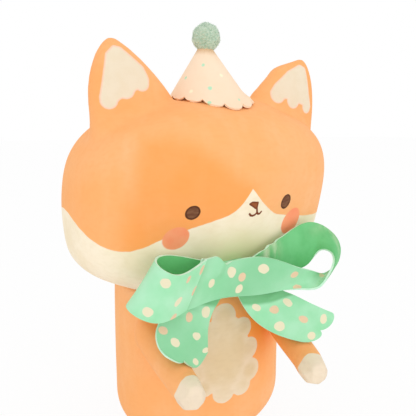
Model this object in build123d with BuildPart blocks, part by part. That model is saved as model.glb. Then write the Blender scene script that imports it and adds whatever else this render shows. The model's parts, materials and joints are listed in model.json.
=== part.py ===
"""Paper-clay fox figurine with a paper bow and a paper party hat.

Millimetres, +Z up, the body faces -Y. The origin is the middle of the flat that the fox stands on.
Right and left are the fox's own: right is -X, left is +X.
"""
import os
from math import asin, copysign, cos, exp, pi, radians, sin, tan

from build123d import *

os.makedirs("parts", exist_ok=True)

# Body: an upright rounded column, drawn in at the foot
BODY_WIDTH = 97.5
BODY_DEPTH = 78.0
BODY_TOP_WIDTH = 95.0
BODY_POWER = 2.15           # 2 is an ellipse, higher is squarer
NECK_HEIGHT = 95.0          # where the head rests
COLLAR_RISE = 9.0           # the body's rim reaches this far up round the head
FOOT_ROUND_HEIGHT = 31.5    # where the foot starts to draw in
FOOT_ROUND_DEPTH = 36.5     # height of the full foot curve, cut off flat at the floor
FOOT_POWER = 2.2
SKIN = 4.0                  # wall of paper clay
GLUE_GAP = 0.2              # between a core and its skin
BASE_THICKNESS = 6.0

# Head: a wide rounded form, turned towards the fox's left
HEAD_TURN = 10.0            # degrees about Z
HEAD_WIDTH = 151.0
HEAD_SHIFT = 8.0            # line of the ears and cheeks, forward of the body axis
HEAD_FRONT = 40.0           # from that line to the face
HEAD_BACK = 52.0            # from that line to the back of the head
HEAD_WIDEST = 43.5          # height of the widest level over the neck
HEAD_RISE = 49.0            # from the widest level to the crown
HEAD_DROP = 47.0            # from the widest level to where the chin curve would close
HEAD_POWER = 2.3
CROWN_POWER = 2.9
CHIN_POWER = 2.9
FACE_LEAN = 8.0             # brow forward of the chin
FACE_FLATNESS = 0.4         # below the widest level: 0 is flat, 1 is as round as the back of the head
BROW_FLATNESS = 0.8         # the same above the widest level
CHEEK_HOLLOW = 2.5
CHEEK_HEIGHT = 33.0         # over the neck
CHEEK_REACH = 16.0
MUZZLE_BULGE = 4.5
MUZZLE_HEIGHT = 45.5        # nose over the neck
MUZZLE_WIDTH = 20.0
MUZZLE_REACH = 16.0

# Ears
EAR_SPACING = 86.0          # between the middles of the roots
EAR_WIDTH = 48.0
EAR_HEIGHT = 38.0           # tip over the root level
EAR_LEAN = 12.0             # tip outward of the root
EAR_ROOT_BELOW_CROWN = 11.5
EAR_SUNK = 12.0             # root carried on into the head before it is fitted to it
EAR_FRONT = 25.5            # front face of the ear, forward of the body axis
EAR_ROOT_THICKNESS = 22.0
EAR_TIP_THICKNESS = 11.0
EAR_POWER = 2.2             # roundness of the sections
EAR_TAPER = 1.6             # how late and how fast the ear narrows
EAR_TAPER_END = 0.75
EAR_LEAN_POWER = 1.4
EAR_TIP_ROUND = 5           # roundness of the tip from front to back
EAR_TIP_SHARE = 0.985       # height share of the tip's small flat
EAR_SECTIONS = 9

# Arms and tail
SHOULDER_OUT = 37.0
SHOULDER_FORWARD = 20.0
SHOULDER_BELOW_NECK = 21.0
PAW_OUT = 31.0
PAW_FORWARD = 69.0
PAW_BELOW_NECK = {"right": 29.5, "left": 33.5}
ARM_SHOULDER_RADIUS = 9.0
ARM_PAW_RADIUS = 6.5
TAIL_HEIGHT = 30.0          # where the tail leaves the back, over the floor
TAIL_LENGTH = 46.0
TAIL_SUNK = 12.0            # root carried on into the body before it is fitted to it
TAIL_FULLEST = 25.0         # from the back to the fullest part
TAIL_RADIUS = 12.5
TAIL_ROOT_RADIUS = 6.5
TAIL_RISE = 38.0            # degrees above level

# Pins and wires
DOWEL_DIAMETER = 10.0
DOWEL_IN_BODY = 45.0
DOWEL_IN_HEAD = 40.0
EAR_PIN_DIAMETER = 3.0
EAR_PIN_IN_EAR = 14.0
EAR_PIN_IN_HEAD = 22.0
EAR_PIN_AIM = 0.6           # height share of the ear that the pin points at
WIRE_DIAMETER = 2.0
ARM_WIRE_IN_ARM = 24.0
ARM_WIRE_IN_BODY = 22.0
TAIL_WIRE_IN_TAIL = 20.0
TAIL_WIRE_IN_BODY = 20.0

# Bow of stiff painted paper strip
STRIP = 1.0                 # thickness of the strip
STRIP_GAP = 0.3             # between a strip and the knot
STRIP_SECTIONS = 24         # flat pieces that a strip bends in
KNOT_WIDTH = 15.0
KNOT_HEIGHT = 12.0
KNOT_STAND = 7.2            # front of the knot, forward of the chin
KNOT_BOTTOM = 6.0           # over the neck
KNOT_ROUND = 1.5
BOW_TAIL_SCALLOPS = {"right": 3, "left": 2}
BOW_TAIL_SCALLOP_DROP = 2.6     # lobes past the valleys between them

# Hat: a paper cone that leans over its rim
HAT_RADIUS = 23.2           # at the feet of the lobes
HAT_TIP_RADIUS = 2.5
HAT_HEIGHT = 26.0           # feet of the lobes to tip flat
HAT_TIP_RIGHT = 7.5         # tip to the right of the rim's middle
HAT_TIP_FORWARD = 1.5
HAT_PAPER = 0.9
RIM_LEAN_LEFT = 2.5         # degrees
RIM_LEAN_FORWARD = 3.0      # degrees
HAT_FORWARD = 15.5          # rim middle forward of the body axis
HAT_PRESS = 1.2             # lobes are trimmed to the crown where it is this far up the rim
HAT_LOBES = 12
HAT_LOBE_DROP = 2.6         # lobes below the valleys between them
POMPOM_DIAMETER = 15.0
POMPOM_OVER_TIP = 6.0       # pom-pom middle over the hat's tip flat

# Sides and sections of the hand-shaped forms
LARGE_SIDES = 40
SMALL_SIDES = 20
CORE_SIDES = 16
HEAD_SECTIONS = 15
HEAD_CORE_SECTIONS = 7
CORE_COARSER = 3            # the body's core has a third of its face's sections
FOOT_SECTIONS = 6
COLUMN_SECTIONS = 3
PAW_SECTIONS = 5
TAIL_SECTIONS = 5           # on each side of the fullest part
POMPOM_SECTIONS = 9
ROUND_END = 80.0            # degrees at which a round end stops in a small flat
HAT_SIDES = 48
FLAT_TOLERANCE = 1e-6
CROWN_FLAT = 0.8            # the crown ends in a small flat that the hat covers

SIDES = (("right", -1), ("left", 1))


def ring(half_width, front, back, power, sides):
    """Corners of a rounded oval, from its left side anticlockwise."""
    corners = []
    for i in range(sides):
        across, along = cos(2 * pi * i / sides), sin(2 * pi * i / sides)
        x = copysign(half_width * abs(across) ** (2 / power), across)
        y = copysign((back if along > 0 else front) * abs(along) ** (2 / power), along)
        corners.append((x, y))
    return corners


def flat_faces(a, b, c, d):
    """One flat face through four corners, or two where they don't lie in one plane."""
    if abs((b - a).cross(c - a).dot(d - a)) < FLAT_TOLERANCE:
        return [Face(Wire.make_polygon([a, b, c, d]))]
    return [Face(Wire.make_polygon([a, b, c])), Face(Wire.make_polygon([a, c, d]))]


def stack(sections):
    """A hand-shaped solid through sections, each a plane and its corners, with flat faces between them."""
    rings = []
    for plane, corners in sections:
        rings.append([plane.from_local_coords(Vector(x, y, 0)) for x, y in corners])
    faces = [Face(Wire.make_polygon(rings[0])), Face(Wire.make_polygon(rings[-1]))]
    for lower, upper in zip(rings, rings[1:]):
        for i in range(len(lower)):
            faces += flat_faces(lower[i - 1], lower[i], upper[i], upper[i - 1])
    return Solid(Shell(faces))


def falling(share, power):
    """A quarter of a rounded outline: 1 at share 0, 0 at share 1."""
    return (1 - min(abs(share), 1) ** power) ** (1 / power)


def body_share(height):
    """Body width at a height, as a share of the full width."""
    if height < FOOT_ROUND_HEIGHT:
        return falling((FOOT_ROUND_HEIGHT - height) / FOOT_ROUND_DEPTH, FOOT_POWER)
    rise = (height - FOOT_ROUND_HEIGHT) / (NECK_HEIGHT - FOOT_ROUND_HEIGHT)
    return 1 - (1 - BODY_TOP_WIDTH / BODY_WIDTH) * rise ** 2


def body_outline(height, inset, sides):
    """Body section at a height, inset from its face."""
    half_width = BODY_WIDTH / 2 * body_share(height) - inset
    half_depth = BODY_DEPTH / 2 * body_share(height) - inset
    return ring(half_width, half_depth, half_depth, BODY_POWER, sides)


def head_plane(height):
    """Level plane at a height over the floor, turned with the head."""
    turn = radians(HEAD_TURN)
    return Plane(origin=(0, 0, height), x_dir=(cos(turn), sin(turn), 0), z_dir=(0, 0, 1))


def head_share(over_neck):
    """Head width at a height over the neck, as a share of the full width."""
    if over_neck > HEAD_WIDEST:
        return falling((over_neck - HEAD_WIDEST) / HEAD_RISE, CROWN_POWER)
    return falling((HEAD_WIDEST - over_neck) / HEAD_DROP, CHIN_POWER)


def face_depth(over_neck):
    """From the line of the ears and cheeks to the face, without the muzzle's swelling."""
    lean = FACE_LEAN * (over_neck - HEAD_WIDEST) / HEAD_RISE
    hollow = CHEEK_HOLLOW * exp(-((over_neck - CHEEK_HEIGHT) / CHEEK_REACH) ** 2)
    flatness = BROW_FLATNESS if over_neck > HEAD_WIDEST else FACE_FLATNESS
    return (HEAD_FRONT + lean) * head_share(over_neck) ** flatness - hollow


def head_outline(over_neck, inset, sides):
    """Head section at a height over the neck, inset from its face, with the muzzle's swelling."""
    share = head_share(over_neck)
    half_width = HEAD_WIDTH / 2 * share - inset
    corners = []
    for x, y in ring(half_width, face_depth(over_neck) - inset, HEAD_BACK * share - inset, HEAD_POWER, sides):
        if y < 0:
            fade = (x / MUZZLE_WIDTH) ** 2 + ((over_neck - MUZZLE_HEIGHT) / MUZZLE_REACH) ** 2
            y -= MUZZLE_BULGE * exp(-fade)
        corners.append((x, y - HEAD_SHIFT))
    return corners


def head_depth_at(x, y, over_neck):
    """Below 0 inside the head, above 0 outside, in the head's own axes."""
    share = head_share(over_neck)
    if share == 0:
        return 1.0
    across = abs(x) / (HEAD_WIDTH / 2 * share)
    along = y + HEAD_SHIFT
    depth = HEAD_BACK * share if along > 0 else face_depth(over_neck)
    return across ** HEAD_POWER + (abs(along) / depth) ** HEAD_POWER - 1


HEAD_HEIGHT = HEAD_WIDEST + HEAD_RISE


def body_form_between(low, high, inset, sides, coarser):
    """The body's form between two heights, evenly sectioned along the foot's curve and up the column."""
    steepest = asin((FOOT_ROUND_HEIGHT - low) / FOOT_ROUND_DEPTH)
    foot_steps, column_steps = FOOT_SECTIONS // coarser, COLUMN_SECTIONS // coarser
    levels = []
    for i in range(foot_steps):
        angle = steepest * (1 - i / foot_steps)
        levels.append(FOOT_ROUND_HEIGHT - FOOT_ROUND_DEPTH * sin(angle))
    for i in range(column_steps + 1):
        levels.append(FOOT_ROUND_HEIGHT + (high - FOOT_ROUND_HEIGHT) * i / column_steps)
    return stack([(Plane.XY.offset(level), body_outline(level, inset, sides)) for level in levels])


def head_form_inset(inset, sides, count):
    """The head's form, inset from its face, sections closer together towards chin and crown."""
    low, high = inset, HEAD_HEIGHT - CROWN_FLAT - inset
    sections = []
    for i in range(count):
        level = (low + high) / 2 - (high - low) / 2 * cos(pi * i / (count - 1))
        sections.append((head_plane(NECK_HEIGHT + level), head_outline(level, inset, sides)))
    return stack(sections)


def on_head(x, y, z):
    """A point given in the head's own axes, over the floor."""
    return head_plane(0).from_local_coords(Vector(x, y, z))


def body_depth_at(point):
    """Below 0 inside the body, above 0 outside."""
    share = body_share(point.Z)
    across = abs(point.X) / (BODY_WIDTH / 2 * share)
    along = abs(point.Y) / (BODY_DEPTH / 2 * share)
    return across ** BODY_POWER + along ** BODY_POWER - 1


def head_depth_of(point):
    """Below 0 inside the head, above 0 outside."""
    local = head_plane(0).to_local_coords(point)
    return head_depth_at(local.X, local.Y, local.Z - NECK_HEIGHT)


def way_out(depth_at, start, direction, reach):
    """Distance from a start inside a form to its face, along a direction."""
    near, far = 0.0, reach
    for _ in range(40):
        middle = (near + far) / 2
        if depth_at(start + direction * middle) < 0:
            near = middle
        else:
            far = middle
    return near


def rod(start, direction, length, diameter):
    """A round pin or wire from a start point."""
    with BuildPart() as pin:
        with BuildSketch(Plane(origin=start, z_dir=direction)):
            Circle(diameter / 2)
        extrude(amount=length)
    return pin.part


def fitted(solid, *others):
    """A solid cut back to the faces of the others."""
    with BuildPart() as piece:
        add(solid)
        for other in others:
            add(other, mode=Mode.SUBTRACT)
    return piece.part


# Full forms of head and body, from which skins and fitted pieces are cut
head_form = head_form_inset(0, LARGE_SIDES, HEAD_SECTIONS)
body_form = body_form_between(0, NECK_HEIGHT + COLLAR_RISE, 0, LARGE_SIDES, 1)

# Neck dowel, shared by both cores and both skins
dowel_foot = Vector(0, 0, NECK_HEIGHT - DOWEL_IN_BODY)
neck_dowel = rod(dowel_foot, Vector(0, 0, 1), DOWEL_IN_BODY + DOWEL_IN_HEAD, DOWEL_DIAMETER)

# Ears: sections stacked from inside the head up to a rounded tip. The front face is nearly flat.
# A wooden pin runs from each ear into the head's core.
ear_root = NECK_HEIGHT + HEAD_HEIGHT - EAR_ROOT_BELOW_CROWN
ear_shares = [-EAR_SUNK / EAR_HEIGHT]
ear_shares += [EAR_TIP_SHARE * sin(pi / 2 * i / (EAR_SECTIONS - 1)) for i in range(EAR_SECTIONS)]


def ear_section(share):
    """Middle across, middle along, half width and half thickness of an ear at a share of its height."""
    up = max(share, 0)
    across = EAR_SPACING / 2 + EAR_LEAN * up ** EAR_LEAN_POWER
    half_width = EAR_WIDTH / 2 * (1 - up ** EAR_TAPER) ** EAR_TAPER_END
    thickness = EAR_ROOT_THICKNESS + (EAR_TIP_THICKNESS - EAR_ROOT_THICKNESS) * up
    half_thickness = thickness / 2 * (1 - up ** EAR_TIP_ROUND) ** 0.5
    return across, thickness / 2 - EAR_FRONT, half_width, half_thickness


ears = {}
ear_pins = {}
for side, sign in SIDES:
    sections = []
    for share in ear_shares:
        across, along, half_width, half_thickness = ear_section(share)
        corners = ring(half_width, half_thickness, half_thickness, EAR_POWER, SMALL_SIDES)
        level = head_plane(ear_root + EAR_HEIGHT * share)
        sections.append((level, [(sign * across + x, along + y) for x, y in corners]))
    root_across, root_along, _, _ = ear_section(0)
    aim_across, aim_along, _, _ = ear_section(EAR_PIN_AIM)
    pin_root = on_head(sign * root_across, root_along, ear_root - EAR_SUNK)
    pin_aim = on_head(sign * aim_across, aim_along, ear_root + EAR_HEIGHT * EAR_PIN_AIM)
    pin_way = (pin_aim - pin_root).normalized()
    seat = way_out(head_depth_of, pin_root, pin_way, EAR_HEIGHT + EAR_SUNK)
    pin_start = pin_root + pin_way * (seat - EAR_PIN_IN_HEAD)
    ear_pins[side] = rod(pin_start, pin_way, EAR_PIN_IN_HEAD + EAR_PIN_IN_EAR, EAR_PIN_DIAMETER)
    ears[side] = fitted(stack(sections), head_form, ear_pins[side])

# Arms: tapered, round-ended, fitted to the body. Wires run on through the skin into the foam.
arms = {}
arm_wires = {}
for side, sign in SIDES:
    shoulder = Vector(sign * SHOULDER_OUT, -SHOULDER_FORWARD, NECK_HEIGHT - SHOULDER_BELOW_NECK)
    paw = Vector(sign * PAW_OUT, -PAW_FORWARD, NECK_HEIGHT - PAW_BELOW_NECK[side])
    reach = (paw - shoulder).length
    arm_way = (paw - shoulder).normalized()
    stations = [(0, ARM_SHOULDER_RADIUS)]
    for i in range(PAW_SECTIONS):
        angle = radians(ROUND_END) * i / (PAW_SECTIONS - 1)
        stations.append((reach + ARM_PAW_RADIUS * sin(angle), ARM_PAW_RADIUS * cos(angle)))
    sections = []
    for distance, radius in stations:
        level = Plane(origin=shoulder + arm_way * distance, x_dir=(1, 0, 0), z_dir=arm_way)
        sections.append((level, ring(radius, radius, radius, 2, SMALL_SIDES)))
    seat = way_out(body_depth_at, shoulder, arm_way, reach)
    wire_start = shoulder + arm_way * (seat - ARM_WIRE_IN_BODY)
    arm_wires[side] = rod(wire_start, arm_way, ARM_WIRE_IN_BODY + ARM_WIRE_IN_ARM, WIRE_DIAMETER)
    arms[side] = fitted(stack(sections), body_form, arm_wires[side])

# Tail: a plump drop on the back, pointing up and away, on a wire
tail_way = Vector(0, cos(radians(TAIL_RISE)), sin(radians(TAIL_RISE)))
tail_seat = Vector(0, BODY_DEPTH / 2 * body_share(TAIL_HEIGHT), TAIL_HEIGHT)
tail_stations = []
for i in range(TAIL_SECTIONS):
    rise = i / TAIL_SECTIONS
    distance = -TAIL_SUNK + (TAIL_FULLEST + TAIL_SUNK) * rise
    tail_stations.append((distance, TAIL_ROOT_RADIUS + (TAIL_RADIUS - TAIL_ROOT_RADIUS) * sin(pi / 2 * rise)))
for i in range(TAIL_SECTIONS + 1):
    angle = radians(ROUND_END) * i / TAIL_SECTIONS
    distance = TAIL_FULLEST + (TAIL_LENGTH - TAIL_FULLEST) * sin(angle)
    tail_stations.append((distance, TAIL_RADIUS * cos(angle)))
sections = []
for distance, radius in tail_stations:
    level = Plane(origin=tail_seat + tail_way * distance, x_dir=(1, 0, 0), z_dir=tail_way)
    sections.append((level, ring(radius, radius, radius, 2, SMALL_SIDES)))
tail_wire = rod(tail_seat - tail_way * TAIL_WIRE_IN_BODY, tail_way, TAIL_WIRE_IN_BODY + TAIL_WIRE_IN_TAIL,
                WIRE_DIAMETER)
tail = fitted(stack(sections), body_form, tail_wire)

# Skins, cores and base disc
head_rods = [neck_dowel, *ear_pins.values()]
body_rods = [neck_dowel, *arm_wires.values(), tail_wire]
head_hollow = head_form_inset(SKIN, CORE_SIDES, HEAD_CORE_SECTIONS)
head_skin = fitted(head_form, head_hollow, *head_rods)
head_core = fitted(head_form_inset(SKIN + GLUE_GAP, CORE_SIDES, HEAD_CORE_SECTIONS), *head_rods)
body_hollow = body_form_between(0, NECK_HEIGHT - SKIN, SKIN, CORE_SIDES, CORE_COARSER)
body_skin = fitted(body_form, body_hollow, head_form, *body_rods)
inner_form = body_form_between(0, NECK_HEIGHT - SKIN - GLUE_GAP, SKIN + GLUE_GAP, CORE_SIDES, CORE_COARSER)
with BuildPart() as under_core:
    Box(BODY_WIDTH, BODY_DEPTH, BASE_THICKNESS + GLUE_GAP, align=(Align.CENTER, Align.CENTER, Align.MIN))
body_core = fitted(inner_form, under_core.part, *body_rods)
with BuildPart() as base_disc:
    with BuildSketch():
        Polygon(*body_outline(0, SKIN + GLUE_GAP, CORE_SIDES), align=None)
    extrude(amount=BASE_THICKNESS)

# Bow: each strip is set by its two edges along its run, upper and lower, as (across, forward of the
# knot's front, over the neck). The paper is straight from edge to edge.
knot_top = KNOT_BOTTOM + KNOT_HEIGHT
chin_front = HEAD_SHIFT + face_depth(knot_top)
knot_front = chin_front + KNOT_STAND
knot_side = KNOT_WIDTH / 2 + STRIP_GAP
under_knot = KNOT_BOTTOM - STRIP_GAP


def bow_point(across, forward, over_neck):
    """A point of the bow from its own measures."""
    return Vector(across, -knot_front - forward, NECK_HEIGHT + over_neck)


def strip(stations):
    """A paper strip through its pairs of edge points."""
    with BuildLine() as upper:
        Spline(*[bow_point(*point) for point, _ in stations])
    with BuildLine() as lower:
        Spline(*[bow_point(*point) for _, point in stations])
    sections = []
    for i in range(STRIP_SECTIONS + 1):
        share = i / STRIP_SECTIONS
        top, bottom = upper.edge() @ share, lower.edge() @ share
        across = top - bottom
        run = upper.edge() % share + lower.edge() % share
        along = run - across * (run.dot(across) / across.length ** 2)
        level = Plane(origin=(top + bottom) / 2, x_dir=across, z_dir=along)
        half = across.length / 2
        sections.append((level, [(half, STRIP / 2), (-half, STRIP / 2), (-half, -STRIP / 2), (half, -STRIP / 2)]))
    return stack(sections)


# Right loop: from the fold in front, round its open end, back to the knot
bow_loop_right = strip([
    ((-19.3, 9.0, 25.3), (-28.7, 9.0, 3.6)),
    ((-28.2, 14.0, 23.1), (-38.0, 14.0, 3.0)),
    ((-36.0, 16.5, 23.0), (-46.0, 15.5, 4.0)),
    ((-42.0, 10.0, 27.0), (-54.0, 8.0, 9.0)),
    ((-38.0, 3.5, 27.5), (-48.5, 2.0, 9.0)),
    ((-25.0, 0.8, 24.5), (-30.0, -1.5, 5.5)),
    ((-knot_side, -0.6, 18.5), (-knot_side, -2.0, 4.0)),
])
# Left loop: from under the fold, across the front of the knot, round its twisted end, back to the knot
bow_loop_left = strip([
    ((-18.7, 7.3, 24.8), (-28.1, 7.3, 2.9)),
    ((-10.3, 4.0, 21.1), (-11.0, 3.5, 3.8)),
    ((1.5, 2.0, 20.9), (1.5, 2.0, 2.6)),
    ((15.5, 3.0, 20.0), (16.5, 3.0, 2.2)),
    ((31.8, 5.0, 13.6), (32.0, 6.0, 2.7)),
    ((44.8, 0.5, 8.4), (41.0, 9.0, 3.2)),
    ((57.0, -5.0, 4.2), (47.2, 8.0, 8.9)),
    ((66.0, -8.0, 7.5), (52.0, 5.0, 13.6)),
    ((68.5, -10.0, 15.5), (53.0, 0.5, 17.0)),
    ((62.5, -12.0, 25.0), (50.5, -3.0, 18.0)),
    ((48.5, -11.5, 31.5), (45.7, -5.0, 13.6)),
    ((32.0, -7.0, 28.0), (32.2, -4.0, 9.5)),
    ((knot_side, -1.6, 19.0), (knot_side, -2.5, 4.0)),
])

# Tails of the bow, each with a scalloped end
bow_tail_runs = {
    "right": [
        ((-19.5, 0.6, under_knot), (-6.5, 0.6, under_knot)),
        ((-33.0, 5.0, -1.0), (-12.0, 1.6, -1.5)),
        ((-42.0, 10.0, -4.0), (-15.8, 3.0, -8.0)),
        ((-41.9, 12.0, -9.0), (-17.1, 5.0, -16.5)),
        ((-36.7, 14.2, -17.6), (-18.8, 9.5, -26.4)),
    ],
    "left": [
        ((12.0, -0.6, under_knot), (1.0, -0.6, under_knot - 1.5)),
        ((27.9, 1.5, 0.1), (8.4, 2.0, -9.0)),
        ((37.2, 7.0, -4.7), (19.1, 7.0, -18.1)),
        ((51.5, 12.0, -11.8), (38.0, 13.5, -24.4)),
    ],
}
bow_tails = {}
for side, stations in bow_tail_runs.items():
    upper, lower = (bow_point(*point) for point in stations[-1])
    before = (bow_point(*stations[-2][0]) + bow_point(*stations[-2][1])) / 2
    end = (upper + lower) / 2
    across = upper - lower
    through = across.cross(end - before)
    pitch = across.length / BOW_TAIL_SCALLOPS[side]
    lobe = (pitch ** 2 / 4 + BOW_TAIL_SCALLOP_DROP ** 2) / (2 * BOW_TAIL_SCALLOP_DROP)
    with BuildPart() as bow_tail:
        add(strip(stations))
        with BuildSketch(Plane(origin=end, x_dir=across, z_dir=through)):
            with Locations((0, BOW_TAIL_SCALLOP_DROP)):
                Rectangle(2 * across.length, 4 * BOW_TAIL_SCALLOP_DROP)
            with GridLocations(pitch, 0, BOW_TAIL_SCALLOPS[side], 1):
                with Locations((0, -lobe)):
                    Circle(lobe, mode=Mode.SUBTRACT)
        extrude(amount=4 * STRIP, both=True, mode=Mode.SUBTRACT)
    bow_tails[side] = bow_tail.part

knot_middle = NECK_HEIGHT + KNOT_BOTTOM + KNOT_HEIGHT / 2
with BuildPart() as knot_block:
    with BuildSketch(Plane(origin=(0, 0, knot_middle), x_dir=(1, 0, 0), z_dir=(0, -1, 0))):
        RectangleRounded(KNOT_WIDTH, KNOT_HEIGHT, KNOT_ROUND)
    extrude(amount=knot_front)
bow_knot = fitted(knot_block.part, head_form, body_form)

# Hat: a leaning paper cone that stands on its scalloped rim. The lobes that meet the crown first are
# trimmed to it.
crown = NECK_HEIGHT + HEAD_HEIGHT
rim_lean = Vector(tan(radians(RIM_LEAN_LEFT)), -tan(radians(RIM_LEAN_FORWARD)), 1).normalized()


def rim_depth(rise):
    """Depth in the head of the deepest lobe foot, with the rim's middle this far over the crown."""
    frame = Plane(origin=(0, -HAT_FORWARD, crown + rise), z_dir=rim_lean)
    depths = []
    for i in range(2 * HAT_LOBES):
        angle = pi * i / HAT_LOBES
        foot = frame.from_local_coords(Vector(HAT_RADIUS * cos(angle), HAT_RADIUS * sin(angle), 0))
        depths.append(head_depth_at(foot.X, foot.Y, foot.Z - NECK_HEIGHT))
    return min(depths)


sunk, clear = -HEAD_RISE, HAT_HEIGHT
for _ in range(40):
    rise = (sunk + clear) / 2
    if rim_depth(rise) < 0:
        sunk = rise
    else:
        clear = rise
hat_origin = on_head(0, -HAT_FORWARD, crown + clear - HAT_PRESS)
hat_way = on_head(rim_lean.X, rim_lean.Y, rim_lean.Z)
hat_plane = Plane(origin=hat_origin, x_dir=on_head(1, 0, 0), z_dir=hat_way)
cone_slope = (HAT_RADIUS - HAT_TIP_RADIUS) / HAT_HEIGHT
paper_across = HAT_PAPER * (1 + cone_slope ** 2) ** 0.5


def hat_form(inset, height):
    """The leaning cone up to a height, inset from its face."""
    sections = []
    for level in (0, height):
        radius = HAT_RADIUS - cone_slope * level - inset
        share = level / HAT_HEIGHT
        corners = ring(radius, radius, radius, 2, HAT_SIDES)
        sections.append((hat_plane.offset(level),
                         [(x - HAT_TIP_RIGHT * share, y - HAT_TIP_FORWARD * share) for x, y in corners]))
    return stack(sections)


hat_full = hat_form(0, HAT_HEIGHT)
hat_wall = fitted(hat_full, hat_form(paper_across, HAT_HEIGHT - HAT_PAPER), head_form)
lobe_pitch = 2 * (HAT_RADIUS - cone_slope * HAT_LOBE_DROP) * sin(pi / HAT_LOBES)
lobe_radius = (lobe_pitch ** 2 / 4 + HAT_LOBE_DROP ** 2) / (2 * HAT_LOBE_DROP)
with BuildPart() as hat_cone:
    add(hat_wall)
    for i in range(HAT_LOBES):
        angle = 2 * pi * i / HAT_LOBES
        outward = hat_plane.x_dir * cos(angle) + hat_plane.y_dir * sin(angle)
        with BuildSketch(Plane(origin=hat_origin, x_dir=hat_way.cross(outward), z_dir=outward)):
            Rectangle(lobe_pitch, 2 * HAT_LOBE_DROP)
            with GridLocations(lobe_pitch, 0, 2, 1):
                with Locations((0, lobe_radius)):
                    Circle(lobe_radius, mode=Mode.SUBTRACT)
        extrude(amount=2 * HAT_RADIUS, mode=Mode.SUBTRACT)

# Pom-pom: a felt ball, seated on the hat's tip
sections = []
for i in range(POMPOM_SECTIONS):
    angle = radians(ROUND_END) * (2 * i / (POMPOM_SECTIONS - 1) - 1)
    level = hat_plane.offset(HAT_HEIGHT + POMPOM_OVER_TIP + POMPOM_DIAMETER / 2 * sin(angle))
    radius = POMPOM_DIAMETER / 2 * cos(angle)
    corners = ring(radius, radius, radius, 2, SMALL_SIDES)
    sections.append((level, [(x - HAT_TIP_RIGHT, y - HAT_TIP_FORWARD) for x, y in corners]))
hat_pompom = fitted(stack(sections), hat_full)

pieces = {
    "base_disc": base_disc.part,
    "body_core": body_core,
    "body_skin": body_skin,
    "neck_dowel": neck_dowel,
    "head_core": head_core,
    "head_skin": head_skin,
    "tail": tail,
    "tail_wire": tail_wire,
    "bow_loop_right": bow_loop_right,
    "bow_loop_left": bow_loop_left,
    "bow_knot": bow_knot,
    "hat_cone": hat_cone.part,
    "hat_pompom": hat_pompom,
}
for side, _ in SIDES:
    pieces[f"ear_{side}"] = ears[side]
    pieces[f"ear_pin_{side}"] = ear_pins[side]
    pieces[f"arm_{side}"] = arms[side]
    pieces[f"arm_wire_{side}"] = arm_wires[side]
    pieces[f"bow_tail_{side}"] = bow_tails[side]
for name, piece in pieces.items():
    piece.label = name
    export_step(piece, f"parts/{name}.step")
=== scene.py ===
"""Looks of the paper-clay fox figurine, built round its CAD frame. +Z is up and the body faces -Y.

Meshes are in metres. Sizes and places in this script are written in mm, left and right are the fox's own."""

import json
import math

import bpy
import numpy as np
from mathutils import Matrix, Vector, noise

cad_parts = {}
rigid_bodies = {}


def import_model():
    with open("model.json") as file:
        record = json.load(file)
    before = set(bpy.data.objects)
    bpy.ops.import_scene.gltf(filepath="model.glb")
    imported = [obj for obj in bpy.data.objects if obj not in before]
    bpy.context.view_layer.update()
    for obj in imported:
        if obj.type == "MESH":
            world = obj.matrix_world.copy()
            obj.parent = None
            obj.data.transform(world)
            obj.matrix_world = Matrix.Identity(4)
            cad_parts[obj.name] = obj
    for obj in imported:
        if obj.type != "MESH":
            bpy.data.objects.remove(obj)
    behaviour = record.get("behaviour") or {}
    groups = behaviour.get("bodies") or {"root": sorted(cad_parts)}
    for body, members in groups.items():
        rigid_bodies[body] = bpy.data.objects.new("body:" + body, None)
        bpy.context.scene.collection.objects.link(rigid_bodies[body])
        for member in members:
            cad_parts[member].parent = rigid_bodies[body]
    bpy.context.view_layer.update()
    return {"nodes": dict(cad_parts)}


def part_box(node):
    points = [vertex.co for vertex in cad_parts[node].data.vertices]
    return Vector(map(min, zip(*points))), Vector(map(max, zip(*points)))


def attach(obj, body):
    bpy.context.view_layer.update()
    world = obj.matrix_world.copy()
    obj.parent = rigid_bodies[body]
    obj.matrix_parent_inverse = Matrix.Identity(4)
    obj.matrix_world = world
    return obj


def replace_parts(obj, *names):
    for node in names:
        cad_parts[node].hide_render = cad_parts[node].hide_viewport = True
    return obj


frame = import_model()

# Body: paper clay shaped over a packed card core, with both arms and the tail modelled on and blended in
# while it was wet, then painted orange with a cream scalloped belly patch, cream paws and a cream tail tip.
MM = 0.001
OUTSIDE = -9.0
CLAY_ROUNDING = 2
BODY_VOXEL = 1.0 * MM
BODY_SMOOTHING = 12
BODY_MIDDLE = Vector((0, 0, 50 * MM))
INNER_WALL_FACING = 0.15
DISC_CLEARANCE, DISC_TALLER = 1.008, 1.05
BODY_PUSHES = [((34, -64, 64), (12, 16, 12), (1.5, -0.5, 0.3))]
FOOT_FULLER, FOOT_LEVEL, FOOT_REACH = 0.8, 20, 9
FOOT_BACK, FOOT_FADE = 38, 34
BELLY_MIDDLE, BELLY_HALF, BELLY_FRONT = (-1.0, 61.0), (15.0, 22.0), -20
BELLY_LOBES = [(-1, 82.3, 6.7), (9.3, 73.5, 6.2), (13.6, 61, 6.4), (14.6, 48.5, 6.6), (9.6, 41, 5.6),
               (-1.2, 40.2, 6.3), (-11.5, 45, 5.4), (-16, 53, 6.2), (-15.5, 64, 6.2), (-11.3, 74.5, 6.2)]
SHOULDERS = {"right": (-37, -20, 74), "left": (37, -20, 74)}
PAWS = {"right": (-31, -69, 65.5), "left": (31, -69, 61.5)}
ARM_REACH = 11.5
PAW_STARTS = {"right": 46.2, "left": 46.4}
PAW_EDGES = {"right": (1.0, 0.3, -0.06), "left": (1.0, 0.3, -0.25)}
PAW_LEAD, PAW_FADE = 3, 4
PAW_FULLER, PAW_CORE, PAW_BALL = 0.5, 3, 2.5
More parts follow.
